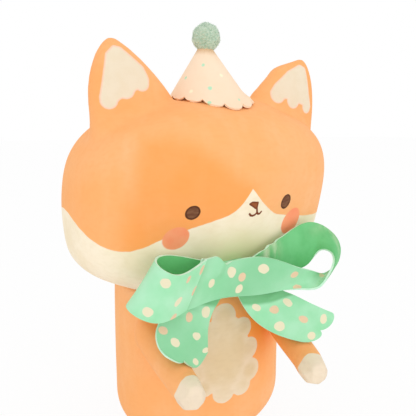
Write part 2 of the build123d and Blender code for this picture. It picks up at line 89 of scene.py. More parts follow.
PAW_FLATS = [(0, 0.55, 0.83), (0.75, 0.15, 0.65), (-0.7, 0.25, 0.67), (0.25, -0.75, 0.6), (-0.5, -0.55, 0.67),
             (0.85, 0.5, 0.15), (-0.88, 0.45, 0.15), (0.9, -0.4, 0.15), (-0.85, -0.5, 0.15), (0.1, 0.1, 0.99)]
PAW_FLAT_DEPTH = 0.85
TAIL_RISE = math.radians(38)
TAIL_WAY = np.array([0, math.cos(TAIL_RISE), math.sin(TAIL_RISE)])
TAIL_UP = np.array([0, -math.sin(TAIL_RISE), math.cos(TAIL_RISE)])
TAIL_TIP, TAIL_TIP_WAVES, TAIL_TIP_WAVE = 15.0, 7, 1.3
BEHIND_BACK = 50
# Painted shade: deeper orange over the front of the body and in the shade under the bow's loops and tails.
BODY_PAINTED_SHADE = [(0.23, (0, -39, 60), (34, 30, 45)), (1.0, (23, -34, 79), (14, 26, 24)),
                     (0.34, (-24, -38, 80), (22, 24, 14))]
BELLY_RIM_INNER, BELLY_RIM_OUTER, BELLY_RIM_SHARE = 4.5, 0.5, 0.7


def pick_only(*objects):
    """Selects these objects and nothing else, the first one active."""
    bpy.ops.object.select_all(action="DESELECT")
    for item in objects:
        item.select_set(True)
    bpy.context.view_layer.objects.active = objects[0]


def open_whole(piece):
    """Opens a mesh in edit mode with everything in it selected."""
    pick_only(piece)
    bpy.ops.object.mode_set(mode="EDIT")
    bpy.ops.mesh.select_all(action="SELECT")


def unpick_inside(piece, kind):
    """Clears the selection inside a mesh, so that faces or vertices can be picked by their place."""
    open_whole(piece)
    bpy.ops.mesh.select_mode(type=kind)
    bpy.ops.mesh.select_all(action="DESELECT")
    bpy.ops.object.mode_set(mode="OBJECT")


def shaped_by(piece, kind, **settings):
    """Puts one modifier on a piece and applies it."""
    pick_only(piece)
    modifier = piece.modifiers.new(kind.lower(), kind)
    for key, value in settings.items():
        setattr(modifier, key, value)
    bpy.ops.object.modifier_apply(modifier=modifier.name)


def clay_copy(name):
    """A merged copy of a CAD node, to be shaped on."""
    piece = bpy.data.objects.new(name + "_clay", frame["nodes"][name].data.copy())
    bpy.context.collection.objects.link(piece)
    piece.data.materials.clear()
    open_whole(piece)
    bpy.ops.mesh.remove_doubles(threshold=0.001 * MM)
    bpy.ops.object.mode_set(mode="OBJECT")
    return piece


def outer_face_only(piece, middle):
    """Takes away the inner wall and the pin holes of a hollow skin and closes what stays."""
    unpick_inside(piece, "FACE")
    for face in piece.data.polygons:
        way = face.center - middle
        face.select = face.normal.dot(way) < INNER_WALL_FACING * way.length
    bpy.ops.object.mode_set(mode="EDIT")
    bpy.ops.mesh.delete(type="FACE")
    bpy.ops.mesh.select_all(action="SELECT")
    bpy.ops.mesh.fill_holes(sides=0)
    bpy.ops.object.mode_set(mode="OBJECT")


def rounded(piece):
    """Turns the flats of a CAD copy into one smooth form."""
    open_whole(piece)
    bpy.ops.mesh.tris_convert_to_quads(face_threshold=math.radians(30), shape_threshold=math.radians(60))
    bpy.ops.object.mode_set(mode="OBJECT")
    shaped_by(piece, "SUBSURF", levels=CLAY_ROUNDING, render_levels=CLAY_ROUNDING)


def points_of(piece, what="co"):
    """Places, or normals, of a mesh's vertices."""
    flat = np.empty(3 * len(piece.data.vertices))
    piece.data.vertices.foreach_get(what, flat)
    return flat.reshape(-1, 3)


def move_to(piece, places):
    """Puts a mesh's vertices at these places."""
    piece.data.vertices.foreach_set("co", places.ravel())
    piece.data.update()


def blended(name, pieces, voxel, rounds):
    """Joins clay pieces into one skin without seams and keeps its outer face."""
    pick_only(*pieces)
    bpy.ops.object.join()
    skin = bpy.context.active_object
    skin.name = skin.data.name = name
    skin.data.remesh_voxel_size = voxel
    bpy.ops.object.voxel_remesh()
    unpick_inside(skin, "VERT")
    skin.data.vertices[int(points_of(skin)[:, 2].argmax())].select = True
    bpy.ops.object.mode_set(mode="EDIT")
    bpy.ops.mesh.select_linked()
    bpy.ops.mesh.select_all(action="INVERT")
    bpy.ops.mesh.delete(type="VERT")
    bpy.ops.object.mode_set(mode="OBJECT")
    shaped_by(skin, "SMOOTH", factor=0.5, iterations=rounds)
    bpy.ops.object.shade_smooth()
    return skin


def keep(piece, name, values):
    """Stores one value for each vertex, to be read by the paint."""
    layer = piece.data.attributes.new(name, "FLOAT", "POINT")
    layer.data.foreach_set("value", np.asarray(values, np.float32))


def near_spot(spots, middle, reach):
    """Soft share, 1 at a place and fading over its reach each way."""
    return np.exp(-(((spots - np.array(middle)) / np.array(reach)) ** 2).sum(1))


def pressed_by(spots, pushes):
    """How far the fingers that shaped the wet clay move each place."""
    moves = np.zeros_like(spots)
    for middle, reach, move in pushes:
        moves += np.outer(near_spot(spots, middle, reach), move)
    return moves


def patches_at(spots, patches):
    """Soft shares of several patches, added up at each place."""
    return sum(share * near_spot(spots, middle, reach) for share, middle, reach in patches)


def in_oval(across, up, middle, half, turn=0.0):
    """Depth inside an oval, in its own units, negative outside."""
    c, s = math.cos(math.radians(turn)), math.sin(math.radians(turn))
    x, z = across - middle[0], up - middle[1]
    far = np.hypot((x * c + z * s) / half[0], (z * c - x * s) / half[1])
    return (1 - far) * min(half)


def colour(red, green, blue):
    """A paint read as 8-bit sRGB, in linear light."""
    shares = [level / 255 for level in (red, green, blue)]
    return (*[s / 12.92 if s < 0.04045 else ((s + 0.055) / 1.055) ** 2.4 for s in shares], 1)


def node(tree, kind, plugs=(), **options):
    """Adds a shader node: sockets are linked, values set."""
    made = tree.nodes.new("ShaderNode" + kind)
    for key, value in options.items():
        setattr(made, key, value)
    for key, value in dict(plugs).items():
        if isinstance(value, bpy.types.NodeSocket):
            tree.links.new(value, made.inputs[key])
        else:
            made.inputs[key].default_value = value
    return made


def new_paint(name, rough):
    """A matte material with its tree, its shader and the object's own coordinates."""
    material = bpy.data.materials.new(name)
    material.use_nodes = True
    tree = material.node_tree
    shader = tree.nodes["Principled BSDF"]
    shader.inputs["Roughness"].default_value = rough
    shader.inputs["Specular IOR Level"].default_value = 0.25
    place = node(tree, "TexCoord").outputs["Object"]
    return material, tree, shader, place


def grain(tree, place, scale, detail=3.0, stretch=(1, 1, 1)):
    """Noise, drawn out along an axis where stretch is below 1 there."""
    if stretch != (1, 1, 1):
        place = node(tree, "Mapping", {"Vector": place, "Scale": stretch}).outputs["Vector"]
    return node(tree, "TexNoise", {"Vector": place, "Scale": scale, "Detail": detail}).outputs["Fac"]


def ramp(tree, value, low, high):
    """0 at low, 1 at high, soft between."""
    plugs = {"Value": value, "From Min": low, "From Max": high}
    return node(tree, "MapRange", plugs, interpolation_type="SMOOTHSTEP").outputs["Result"]


def sums(tree, way, first, second):
    """One step of arithmetic."""
    return node(tree, "Math", {0: first, 1: second}, operation=way).outputs[0]


def thinned(tree, area, share):
    """An area of paint that is laid on thinly."""
    return sums(tree, "MULTIPLY", area, share)


def mixed(tree, share, under, over):
    """One colour laid over another."""
    return node(tree, "Mix", {0: share, 6: under, 7: over}, data_type="RGBA").outputs[2]


def clouded(tree, place, scale, detail, under, over, low=0.3, high=0.7, stretch=(1, 1, 1)):
    """Two paints that run into each other in soft clouds."""
    clouds = ramp(tree, grain(tree, place, scale, detail, stretch), low, high)
    return mixed(tree, clouds, colour(*under), colour(*over))


def stored(tree, name):
    """A value that was stored on the mesh."""
    return node(tree, "Attribute", attribute_name=name).outputs["Fac"]


def painted_area(tree, name, wobble, soft=0.14):
    """Where a stored depth is inside its area, with the wavering edge of a brush."""
    return ramp(tree, sums(tree, "ADD", stored(tree, name), wobble), -soft, soft)


def hand_wobble(tree, place, scale, reach):
    """A small wavering of painted edges, in mm."""
    return sums(tree, "MULTIPLY", sums(tree, "SUBTRACT", grain(tree, place, scale, 2), 0.5), reach)


def brushed(tree, place, coat, tone):
    """The fine streaks and specks that a bristle brush leaves in matte paint."""
    streaks = ramp(tree, grain(tree, place, 650, 5, (0.35, 1, 0.8)), 0.42, 0.72)
    return mixed(tree, thinned(tree, streaks, 0.18), coat, tone)


def orange_coat(tree, place):
    """Orange paint in broad strokes, with deeper orange over it where a stored share says: painted shade, on
    the forehead partly a deeper coat.
    """
    coat = clouded(tree, place, 16, 2, (254, 182, 118), (254, 187, 128), 0.35, 0.65)
    strokes = ramp(tree, grain(tree, place, 90, 4, (0.35, 0.35, 1)), 0.3, 0.75)
    coat = mixed(tree, thinned(tree, strokes, 0.35), coat, colour(255, 176, 100))
    bristles = ramp(tree, grain(tree, place, 150, 5, (1, 1, 0.12)), 0.45, 0.7)
    coat = mixed(tree, thinned(tree, bristles, 0.18), coat, colour(255, 199, 146))
    pale = ramp(tree, grain(tree, place, 38, 5, (1, 1, 0.6)), 0.52, 0.75)
    coat = mixed(tree, thinned(tree, pale, 0.4), coat, colour(255, 203, 156))
    coat = brushed(tree, place, coat, colour(247, 166, 96))
    # Deeper orange laid over the coat: painted shade on the body and head, on the forehead partly a deeper
    # coat of paint.
    return mixed(tree, stored(tree, "shade_and_deep_coat"), coat, colour(255, 154, 62))


def clay_tooth(tree, shader, place):
    """Brush ridges and the slight lumps of paper clay, as bump."""
    ridges = grain(tree, place, 420, 3, (0.25, 0.25, 1))
    lumps = grain(tree, place, 130, 2)
    height = sums(tree, "ADD", thinned(tree, ridges, 0.35), lumps)
    bump = node(tree, "Bump", {"Height": height, "Strength": 0.35, "Distance": 0.6 * MM})
    tree.links.new(bump.outputs["Normal"], shader.inputs["Normal"])


def arm_axes(side):
    """Unit ways across to the viewer's left, up and along an arm."""
    ahead = np.array(PAWS[side], float) - np.array(SHOULDERS[side])
    ahead /= np.linalg.norm(ahead)
    rise = np.array([0, 0, 1.0]) - ahead[2] * ahead
    rise /= np.linalg.norm(rise)
    return np.array([np.cross(ahead, rise), rise, ahead])


def along_arm(spots, side):
    """Places across, up and along an arm, their reach from its middle, and which belong to the arm."""
    left, rise, ahead = ((spots - np.array(SHOULDERS[side], float)) @ arm_axes(side).T).T
    off = np.hypot(left, rise)
    return left, rise, ahead, off, off < ARM_REACH


body_parts = [clay_copy(name) for name in ("body_skin", "arm_right", "arm_left", "tail")]
outer_face_only(body_parts[0], BODY_MIDDLE)
for piece in body_parts:
    rounded(piece)
body = blended("fox_body", body_parts, BODY_VOXEL, BODY_SMOOTHING)

spots = points_of(body) / MM
moves = pressed_by(spots, BODY_PUSHES)
low_down = np.exp(-((spots[:, 2] - FOOT_LEVEL) / FOOT_REACH) ** 2)
low_down *= np.clip((FOOT_BACK - spots[:, 1]) / FOOT_FADE, 0, 1)
span = np.linalg.norm(spots[:, :2], axis=1, keepdims=True)
moves[:, :2] += FOOT_FULLER * low_down[:, None] * spots[:, :2] / span
spots = spots + moves
for side in ("right", "left"):
    left, rise, ahead, off, arm = along_arm(spots, side)
    start = PAW_STARTS[side]
    held = arm & (ahead > start - PAW_LEAD)
    axes = np.array([left, rise, ahead]).T[held]
    grown = axes.copy()
    grown[:, :2] *= 1 + PAW_FULLER / np.maximum(off[held], PAW_CORE)[:, None]
    grown[:, 2] -= start + PAW_BALL
    for flat in PAW_FLATS:
        flat = np.array(flat) / np.linalg.norm(flat)
        out = grown @ flat
        grown -= np.outer(np.clip(out - out.max() + PAW_FLAT_DEPTH, 0, None), flat)
    grown[:, 2] += start + PAW_BALL
    share = np.clip((axes[:, 2] - start + PAW_LEAD) / PAW_FADE, 0, 1)[:, None]
    spots[held] += (share * (grown - axes)) @ arm_axes(side)
move_to(body, spots * MM)

cutter = clay_copy("base_disc")
pick_only(cutter)
bpy.ops.transform.resize(value=(DISC_CLEARANCE, DISC_CLEARANCE, DISC_TALLER))
bpy.ops.object.transform_apply(location=True, rotation=True, scale=True)
shaped_by(body, "BOOLEAN", operation="DIFFERENCE", object=cutter)
bpy.data.objects.remove(cutter, do_unlink=True)

spots = points_of(body) / MM
belly = in_oval(spots[:, 0], spots[:, 2], BELLY_MIDDLE, BELLY_HALF)
for x, z, size in BELLY_LOBES:
    belly = np.maximum(belly, in_oval(spots[:, 0], spots[:, 2], (x, z), (size, size)))
keep(body, "belly", np.where(spots[:, 1] < BELLY_FRONT, belly, OUTSIDE))
paw = np.full(len(spots), OUTSIDE)
for side in ("right", "left"):
    left, rise, ahead, off, arm = along_arm(spots, side)
    corner, before, after = PAW_EDGES[side]
    edge = PAW_STARTS[side] + np.maximum(before * (left - corner), after * (left - corner))
    paw = np.maximum(paw, np.where(arm, ahead - edge, OUTSIDE))
out, higher = spots @ TAIL_WAY, spots @ TAIL_UP
round_tail = np.arctan2(spots[:, 0], higher - higher[out.argmax()])
tip = out - out.max() + TAIL_TIP + TAIL_TIP_WAVE * np.cos(TAIL_TIP_WAVES * round_tail)
keep(body, "paw", np.maximum(paw, np.where(spots[:, 1] > BEHIND_BACK, tip, OUTSIDE)))
# Painted shade on the body, stored as the share of deeper orange.
keep(body, "shade_and_deep_coat", np.clip(patches_at(spots, BODY_PAINTED_SHADE), 0, 1))

clay, tree, shader, place = new_paint("painted_body", 0.75)
wobble = hand_wobble(tree, place, 260, 0.8)
tan = clouded(tree, place, 45, 3, (228, 204, 163), (236, 216, 184), 0.35, 0.65)
rim = ramp(tree, stored(tree, "belly"), BELLY_RIM_INNER, BELLY_RIM_OUTER)
tan = mixed(tree, thinned(tree, rim, BELLY_RIM_SHARE), tan, colour(240, 220, 192))
tan = brushed(tree, place, tan, colour(214, 188, 146))
coat = mixed(tree, painted_area(tree, "belly", wobble), orange_coat(tree, place), tan)
cream = clouded(tree, place, 120, 3, (242, 224, 198), (235, 217, 193), 0.35, 0.7)
cream = brushed(tree, place, cream, colour(222, 202, 172))
coat = mixed(tree, painted_area(tree, "paw", wobble), coat, cream)
tree.links.new(coat, shader.inputs["Base Color"])
clay_tooth(tree, shader, place)
body.data.materials.append(clay)
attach(body, "root")
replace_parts(body, "body_skin", "arm_right", "arm_left", "tail")

# Head: paper clay over its own card core, with the two ears modelled on and blended in. Painted orange over
# a cream lower face; the eyes, cheeks, nose, mouth and ear patches are painted on by hand.
HEAD_TURN = math.radians(10)
HEAD_MIDDLE = Vector((0, 0, 140 * MM))
HEAD_VOXEL = 1.1 * MM
HEAD_SMOOTHING = 14
THUMB_PUSHES = [((-2, -12, 186), (34, 24, 16), (0, 0, 3.4)), ((64, -26, 172), (24, 28, 55), (1.9, -1.25, 0)),
                ((42, -20, 207), (8, 30, 7), (-4.6, 0, 1.2)), ((24, -18, 190), (9, 16, 6), (0, 0, 3.0)),
                ((-74, 4, 156), (20, 30, 14), (0.6, 0, 0)), ((-69, -2, 116), (14, 26, 9), (-0.9, 0.4, -0.2)),
                ((-48, -14, 100), (22, 24, 10), (0.8, 0, 1.7)),
                ((-59, -20, 208), (7, 20, 12), (-0.5, 0.2, 0.2)),
                ((-67, -12, 178), (8, 16, 13), (2.0, -1.0, 0)), ((33, -18, 199), (8, 30, 8), (-2.2, 0, 0.9))]
EAR_ROOTS, EAR_ROOT_REACH = [(-44, -26, 183), (44, -26, 183)], (17, 13, 10)
EAR_CORNERS, EAR_CORNER_REACH = [(-67, -14, 177), (63, -16, 177)], (8, 13, 8)
EAR_CORNER_SHARE, EAR_BLEND_LEAST, EAR_BLEND_ROUNDS = 0.7, 0.02, 60
FINE_FACE_LOW, FINE_FACE_HIGH = (-46, -200, 120), (40, -30, 147)
FACE_FRONT, EAR_FACING = -15, -0.1
FACE_LINE_RIGHT = [(-126, 84), (-108, 129), (-92, 139), (-79, 136.8), (-71, 128.3), (-60, 122.9),
                   (-48, 127.4), (-30, 132.9), (-18, 135.8), (-9, 140.2), (-2, 148.6)]
FACE_LINE_LEFT = [(-2, 148.6), (4, 143), (9.6, 139.2), (16, 135.6), (27, 132.6), (45, 129.4), (58, 127.6),
                  (70, 127.8), (82, 132), (95, 136), (108, 129), (126, 84)]
# The forehead's deeper orange wedge: partly a deeper coat of paint, partly painted shade.
FOREHEAD = [(-65, 114), (-56.5, 153), (-53.5, 170.5), (-44, 172.5), (-30, 168), (-12, 156), (1, 149.5),
            (1, 130), (-30, 114)]
FOREHEAD_SHARE, FOREHEAD_OUT, FOREHEAD_FADE = 0.57, 5, 11.5
# Painted shade: deeper orange on the side of the head and on the ears' outer rims.
HEAD_PAINTED_SHADE = [(0.12, (-66, -22, 140), (14, 30, 26)), (0.29, (-60, -20, 194), (16, 40, 22)),
                     (0.29, (60, -20, 194), (16, 40, 22))]
# Painted shade and painted green reflection of the bow on the cream under the chin, and a painted reflection
# of the left loop at the muzzle's side.
GREEN_SHADE_UNDER_BOW, GREEN_SHADE_UNDER_BOW_HALF = (-2, 112), (46, 26)
LOOP_REFLECTION = [(0.4, (50, -36, 126), (12, 30, 9))]
EYES = [((-30.2, 139.3), (3.5, 3.25), 20), ((23.5, 139.5), (3.95, 3.8), 30)]
CHEEKS = [((-36.5, 127.7), (6.2, 5.1), 22), ((31.8, 127.8), (7.9, 6.5), 36)]
NOSE = [(-2.6, 141.3), (-1.3, 142.0), (2.2, 141.6), (2.2, 139.6), (1.5, 138.8)]
NOSE_ROUND = 0.45
MOUTH = ([(2.0, 139.2), (2.9, 136.6), (2.0, 135.5), (0.6, 135.1), (-0.7, 135.4), (-1.6, 136.3)],
         [(2.9, 136.6), (3.7, 135.7), (4.8, 135.7), (5.6, 136.6)])
MOUTH_HALF = 0.52
EAR_PATCHES = {
    "right": ([(-55.4, 209.8), (-58.6, 206.5), (-61.9, 188.0), (-57.5, 185.7), (-50.5, 190.1), (-43.5, 193.7),
               (-39.9, 197.0), (-42.2, 202.0), (-52.4, 209.4)],
              [(-58.3, 187.4, 3.7), (-51.1, 192.0, 4.0), (-43.7, 195.3, 3.8)]),
    "left": ([(52.0, 210.0), (55.8, 208.4), (58.6, 195.0), (61.2, 187.5), (54.0, 188.5), (45.0, 190.5),
              (36.0, 193.0), (32.0, 194.5), (34.8, 198.6), (43.0, 205.8)],
             [(57.2, 187.6, 3.8), (46.3, 190.6, 4.4), (36.3, 193.2, 4.4)]),
}
EAR_PATCH_ROUND = 0.3
EYE_RIM = NOSE_RIM = -0.75
EAR_PATCH_RIM = -0.55


def curve_through(at, values, where):
    """Values of the natural cubic curve through these points."""
    at, values = np.asarray(at, float), np.asarray(values, float)
    gaps, count = np.diff(at), len(at)
    rows, right = np.eye(count), np.zeros_like(values)
    for i in range(1, count - 1):
        rows[i, i - 1:i + 2] = gaps[i - 1], 2 * (gaps[i - 1] + gaps[i]), gaps[i]
        right[i] = 6 * ((values[i + 1] - values[i]) / gaps[i] - (values[i] - values[i - 1]) / gaps[i - 1])
    bend = np.linalg.solve(rows, right)
    k = np.clip(np.searchsorted(at, where, side="right") - 1, 0, count - 2)
    shape = (-1,) + (1,) * (values.ndim - 1)
    gap, after, before = [x.reshape(shape) for x in (gaps[k], at[k + 1] - where, where - at[k])]
    return ((bend[k] * after ** 3 + bend[k + 1] * before ** 3) / (6 * gap)
            + (values[k] / gap - bend[k] * gap / 6) * after
            + (values[k + 1] / gap - bend[k + 1] * gap / 6) * before)


def to_line(across, up, points):
    """Distance to a line drawn from point to point."""
    near = np.full(len(across), np.inf)
    for (x, z), (x_end, z_end) in zip(points, points[1:]):
        dx, dz = x_end - x, z_end - z
        share = np.clip(((across - x) * dx + (up - z) * dz) / (dx * dx + dz * dz), 0, 1)
        near = np.minimum(near, np.hypot(across - x - share * dx, up - z - share * dz))
    return near


def in_outline(across, up, points):
    """Depth inside a closed outline, negative outside."""
    inside = np.zeros(len(across), bool)
    for (x, z), (x_end, z_end) in zip(points, points[1:] + points[:1]):
        crosses = (z > up) != (z_end > up)
        inside ^= crosses & (across < (x_end - x) * (up - z) / (z_end - z + 1e-12) + x)
    near = to_line(across, up, points + points[:1])
    return np.where(inside, near, -near)


def turned_about_z(spots, turn):
    """Places turned about the upright axis."""
    c, s = math.cos(turn), math.sin(turn)
    return np.stack([spots[:, 0] * c - spots[:, 1] * s, spots[:, 1] * c + spots[:, 0] * s, spots[:, 2]], 1)


def in_head_frame(spots):
    """Places turned back to the head's own front."""
    return turned_about_z(spots, -HEAD_TURN)


def from_head_frame(spots):
    """Places from the head's own frame to the figurine's."""
    return turned_about_z(spots, HEAD_TURN)


head_parts = [clay_copy(name) for name in ("head_skin", "ear_right", "ear_left")]
outer_face_only(head_parts[0], HEAD_MIDDLE)
for piece in head_parts:
    rounded(piece)
head = blended("fox_head", head_parts, HEAD_VOXEL, HEAD_SMOOTHING)

own = in_head_frame(points_of(head) / MM)
move_to(head, from_head_frame(own + pressed_by(own, THUMB_PUSHES)) * MM)
roots = head.vertex_groups.new(name="ear_roots")
share = np.maximum(patches_at(own, [(1, root, EAR_ROOT_REACH) for root in EAR_ROOTS]),
                   patches_at(own, [(EAR_CORNER_SHARE, corner, EAR_CORNER_REACH) for corner in EAR_CORNERS]))
for index in np.nonzero(share > EAR_BLEND_LEAST)[0]:
    roots.add([int(index)], float(share[index]), "REPLACE")
shaped_by(head, "SMOOTH", factor=0.5, iterations=EAR_BLEND_ROUNDS, vertex_group=roots.name)
head.vertex_groups.clear()

centres = np.empty(3 * len(head.data.polygons))
head.data.polygons.foreach_get("center", centres)
centres = in_head_frame(centres.reshape(-1, 3) / MM)
unpick_inside(head, "FACE")
head.data.polygons.foreach_set("select", ((centres > FINE_FACE_LOW) & (centres < FINE_FACE_HIGH)).all(1))
bpy.ops.object.mode_set(mode="EDIT")
bpy.ops.mesh.subdivide(number_cuts=2)
bpy.ops.object.mode_set(mode="OBJECT")

spots = in_head_frame(points_of(head) / MM)
across, up = spots[:, 0], spots[:, 2]
front = spots[:, 1] < FACE_FRONT
turn = np.degrees(np.arctan2(across, -spots[:, 1]))
line = np.where(turn < FACE_LINE_LEFT[0][0], curve_through(*zip(*FACE_LINE_RIGHT), turn),
                curve_through(*zip(*FACE_LINE_LEFT), turn))
keep(head, "cream", np.where(abs(turn) < FACE_LINE_LEFT[-1][0], line - up, OUTSIDE))
for name, ovals in (("eye", EYES), ("cheek", CHEEKS)):
    inside = np.maximum(*[in_oval(across, up, *oval) for oval in ovals])
    keep(head, name, np.where(front, inside, OUTSIDE))
nose = in_outline(across, up, NOSE) + NOSE_ROUND
for stroke in MOUTH:
    nose = np.maximum(nose, MOUTH_HALF - to_line(across, up, stroke))
keep(head, "nose", np.where(front, nose, OUTSIDE))
ear = np.full(len(spots), OUTSIDE)
for outline, lobes in EAR_PATCHES.values():
    ear = np.maximum(ear, in_outline(across, up, outline) + EAR_PATCH_ROUND)
    for x, z, size in lobes:
        ear = np.maximum(ear, in_oval(across, up, (x, z), (size, size)))
facing = in_head_frame(points_of(head, "normal"))[:, 1]
keep(head, "ear", np.where(front & (facing < EAR_FACING), ear, OUTSIDE))
# Painted shade and green light reflected from the bow and its left loop, stored on the head.
reflected_green = in_oval(across, up, GREEN_SHADE_UNDER_BOW, GREEN_SHADE_UNDER_BOW_HALF) / min(GREEN_SHADE_UNDER_BOW_HALF)
keep(head, "bow_shade_and_reflection", np.maximum(np.clip(reflected_green, 0, 1), patches_at(spots, LOOP_REFLECTION)))
# Painted shade, with the forehead's deeper coat: the share of deeper orange on the head.
forehead = np.clip((in_outline(turn, up, FOREHEAD) + FOREHEAD_OUT) / FOREHEAD_FADE, 0, 1)
shade_and_deep_coat = FOREHEAD_SHARE * forehead * forehead * (3 - 2 * forehead) + patches_at(spots, HEAD_PAINTED_SHADE)
keep(head, "shade_and_deep_coat", np.clip(shade_and_deep_coat, 0, 1))

clay, tree, shader, place = new_paint("painted_head", 0.75)
wobble = hand_wobble(tree, place, 260, 0.7)
fine_wobble = hand_wobble(tree, place, 700, 0.25)
cream = clouded(tree, place, 60, 3, (253, 239, 214), (247, 231, 200), 0.35, 0.65)
# The cream turns to a darker green under the bow: painted shade and painted reflected green.
cream = mixed(tree, ramp(tree, stored(tree, "bow_shade_and_reflection"), 0.0, 0.9), cream, colour(223, 219, 171))
cream = brushed(tree, place, cream, colour(232, 214, 176))
coat = mixed(tree, painted_area(tree, "cream", wobble, 0.25), orange_coat(tree, place), cream)
rose = clouded(tree, place, 160, 3, (255, 163, 118), (255, 152, 108))
coat = mixed(tree, painted_area(tree, "cheek", fine_wobble, 0.3), coat, rose)
coat = mixed(tree, painted_area(tree, "ear", fine_wobble, 0.2), coat, colour(250, 206, 180))
linen = clouded(tree, place, 260, 3, (239, 223, 197), (237, 220, 192), 0.35, 0.7)
inner = sums(tree, "ADD", fine_wobble, EAR_PATCH_RIM)
coat = mixed(tree, painted_area(tree, "ear", inner, 0.35), coat, linen)
coat = mixed(tree, painted_area(tree, "eye", fine_wobble), coat, colour(86, 46, 26))
iris = clouded(tree, place, 900, 3, (110, 66, 42), (132, 88, 60), 0.35, 0.65, (0.3, 0.3, 1))
inner = sums(tree, "ADD", fine_wobble, EYE_RIM)
coat = mixed(tree, painted_area(tree, "eye", inner, 0.3), coat, iris)
coat = mixed(tree, painted_area(tree, "nose", fine_wobble), coat, colour(122, 58, 26))
inner = sums(tree, "ADD", fine_wobble, NOSE_RIM)
coat = mixed(tree, thinned(tree, painted_area(tree, "nose", inner, 0.3), 0.6), coat, colour(170, 96, 52))
tree.links.new(coat, shader.inputs["Base Color"])
clay_tooth(tree, shader, place)
head.data.materials.append(clay)
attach(head, "root")
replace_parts(head, "head_skin", "ear_right", "ear_left")

# Bow: strips of stiff paper painted mint with cream and peach dots, a deeper green inside, folded and glued
# to a block of the same paper under the chin. The two tails end in scallops.
STRIP = 1.0 * MM
STRIP_LONG, STRIP_ACROSS, STRIP_STEPS = 260, 40, 201
KNOT_BOTTOM = 6.0
LOOP_RIGHT = [((-19.3, 9, 25.3), (-28.7, 9, 3.6)), ((-28.2, 14, 23.1), (-38, 14, 3)),
              ((-36, 16.5, 23), (-46, 15.5, 4)), ((-42, 10, 27), (-54, 8, 9)),
              ((-38, 3.5, 27.5), (-48.5, 2, 9)), ((-25, 0.8, 24.5), (-30, -1.5, 5.5)),
              ((-7.8, -0.6, 18.5), (-7.8, -2, 4))]
LOOP_LEFT = [((-21, 8.4, 25.6), (-30.4, 8.4, 3.1)), ((-18.7, 7.3, 24.8), (-28.1, 7.3, 2.9)),
             ((-10.3, 4, 21.1), (-11, 3.5, 3.8)), ((1.5, 2, 20.9), (1.5, 2, 2.6)),
             ((15.5, 3, 20), (16.5, 3, 2.2)), ((31.8, 5, 13.6), (32, 6, 2.7)),
             ((44.8, 0.5, 8.4), (41, 9, 3.2)), ((57, -5, 4.2), (47.6, 8, 8.7)),
             ((66.5, -8, 7.5), (53, 5, 13.4)), ((69.3, -10, 15.7), (54.8, 0.5, 17.3)),
             ((63.2, -12, 25.4), (51.8, -3, 18.2)), ((48.5, -11.5, 31.5), (46.7, -5, 12.4)),
             ((32, -7, 28), (32.2, -4, 8.6)), ((7.8, -1.6, 19), (7.8, -2.5, 4))]
TAIL_RIGHT = [((-19.5, 0.6, 5.7), (-6.5, 0.6, 5.7)), ((-38, 6, 1.5), (-12, 1.6, -1.5)),
              ((-42.6, 10, -4), (-15.8, 3, -8)), ((-42.3, 12, -9.2), (-17.1, 5, -16.5)),
              ((-38.0, 14.0, -15.2), (-19.2, 9.8, -27.9))]
TAIL_LEFT = [((12, -0.6, 5.7), (0.2, -0.6, 4.2)), ((27.9, 1.5, 0.1), (7.0, 2, -8.8)),
             ((37.2, 7, -4.7), (18.6, 7, -18.1)), ((51.5, 12, -11.8), (38, 13.5, -24.4))]
SCALLOP_ROUND, CORNER_REACH, END_ONLY = 3.8, 0.45, 4
TUCKED = {"bow_left": 2.5}
FOLDS = {"bow_left": [(9, 19, 3.0, 8, 1.5), (15.5, 20, 2.4, 7, -1.3), (136, 14, 1.3, 6, 0.8),
                      (139, 13, 1.2, 6, -0.8), (142, 14, 1.3, 6, 1.0), (145.5, 13, 1.2, 5, -0.8),
                      (120, 17, 3, 9, 0.5)],
         "bow_end_left": [(13, 12, 2.5, 8, 0.9), (18, 14, 3, 9, -0.7)],
         "bow_end_right": [(10, 9, 2.5, 9, -0.7), (25, 14, 6, 9, 0.8)]}
EDGE_LIFTS = {"bow_left": [(5.5, 3.4, 2.6), (13.5, 3.0, -0.9)]}
PAPER_WAVE, PAPER_WAVE_LONG = 0.35, 16
SHADED_STARTS = {"bow_right": (0, 0, 1), "bow_left": (6, 0, 14), "bow_end_left": (8, 0.62, 2.5),
                 "bow_end_right": (9.5, 0, 3)}
MIDDLE_TONES = {"bow_right": 0.1, "bow_left": 0.9, "bow_end_right": 0.8, "bow_end_left": 0.25}
MIDDLE_IN, MIDDLE_OUT, MIDDLE_FADE = 0.2, 1.6, 45
WORN_SPOTS = {"bow_left": [(1.0, (142, 14), (6, 6)), (0.4, (99, 17), (12, 5))]}
LIT_INSIDES = {"bow_right": 0.7}
DOT_AHEAD, DOT_HIGHER, DOT_NEAR = 3, 4, 4
